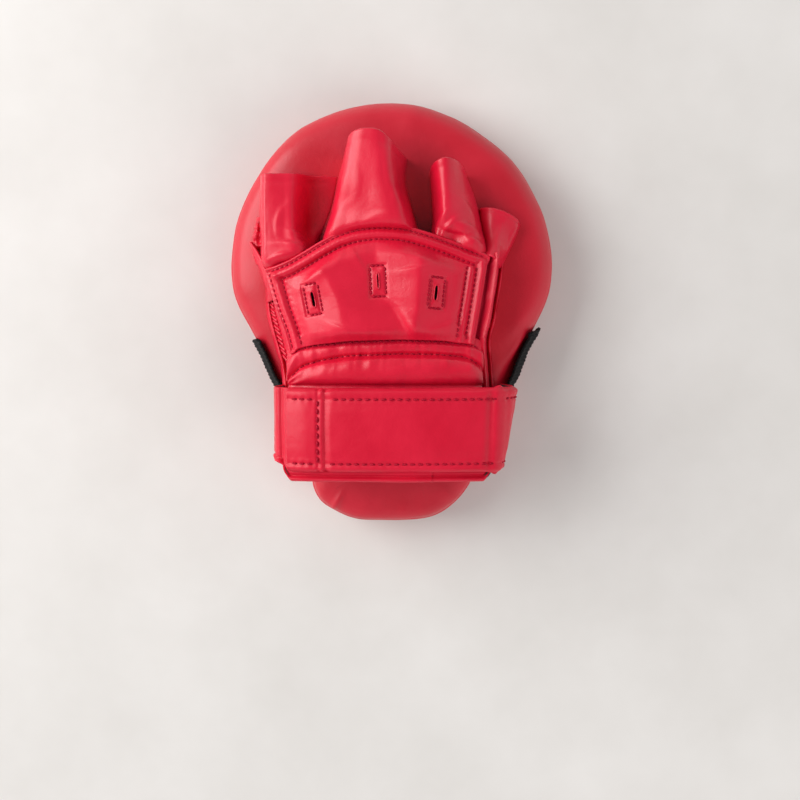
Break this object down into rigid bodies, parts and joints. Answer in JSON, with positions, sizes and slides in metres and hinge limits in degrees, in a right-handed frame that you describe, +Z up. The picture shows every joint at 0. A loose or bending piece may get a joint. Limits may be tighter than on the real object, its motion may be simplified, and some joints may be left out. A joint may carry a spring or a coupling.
{
  "type": "focus mitt",
  "caption": "Hand-held padded punching target: round foam striking pad, glove with separate finger sleeves on its back, padded knuckle panel and hook-and-loop wrist strap.",
  "frame": {"origin": "on the floor under the middle of the length and width; the mitt lies on its strike face", "axes": "+Y towards the fingertips, +X to the right seen from the back of the hand (the little finger's side), +Z up, out of the back of the hand"},
  "size_m": [0.19, 0.248, 0.0844],
  "materials": {
    "red_leather": "satin",
    "red_leather_glove": "satin",
    "red_leather_strap": "satin",
    "foam": "matte",
    "black_lining": "matte",
    "black_hook_loop": "matte",
    "black_elastic": "matte"
  },
  "bodies": {
    "mitt": {"strike_face_cover": "red_leather", "side_wall": "red_leather", "back_cover": "red_leather", "impact_foam": "foam", "core_foam": "foam", "backing_foam": "foam", "palm_lining": "black_lining", "hand_panel_lining": "black_lining", "hand_panel_foam": "foam", "hand_panel": "red_leather_glove", "side_gusset_left": "red_leather_glove", "side_gusset_right": "red_leather_glove", "wrist_roll_foam": "foam", "wrist_roll_cover": "red_leather_glove", "finger_sleeve_index": "red_leather_glove", "finger_sleeve_middle": "red_leather_glove", "finger_sleeve_ring": "red_leather_glove", "finger_sleeve_little": "red_leather_glove", "thumb_sleeve": "red_leather_glove", "cuff_left_wall": "red_leather_strap", "cuff_right_panel": "red_leather_strap", "strap_anchor": "red_leather_strap", "side_elastic_left": "black_elastic", "side_elastic_right": "black_elastic"},
    "strap": {"wrist_strap": "red_leather_strap"},
    "strap_end": {"strap_tab": "red_leather_strap", "hook_patch": "black_hook_loop"},
    "flap": {"cuff_flap": "red_leather_strap", "loop_patch": "black_hook_loop"}
  },
  "joints": [
    {"name": "strap_swing", "type": "hinge", "parent": "mitt", "child": "strap", "pos_m": [0.0572, -0.064, 0.0797], "axis": [0, 1, 0], "range_deg": [0, 160]},
    {"name": "tab_peel", "type": "hinge", "parent": "strap", "child": "strap_end", "pos_m": [-0.03825, -0.064, 0.0838], "axis": [0, 1, 0], "range_deg": [0, 90]},
    {"name": "flap_swing", "type": "hinge", "parent": "mitt", "child": "flap", "pos_m": [-0.0558, -0.064, 0.0753], "axis": [0, -1, 0], "range_deg": [0, 56]}
  ],
  "couplings": [
    {"joint": "flap_swing", "follows": "strap_swing", "ratio": 0.35}
  ]
}
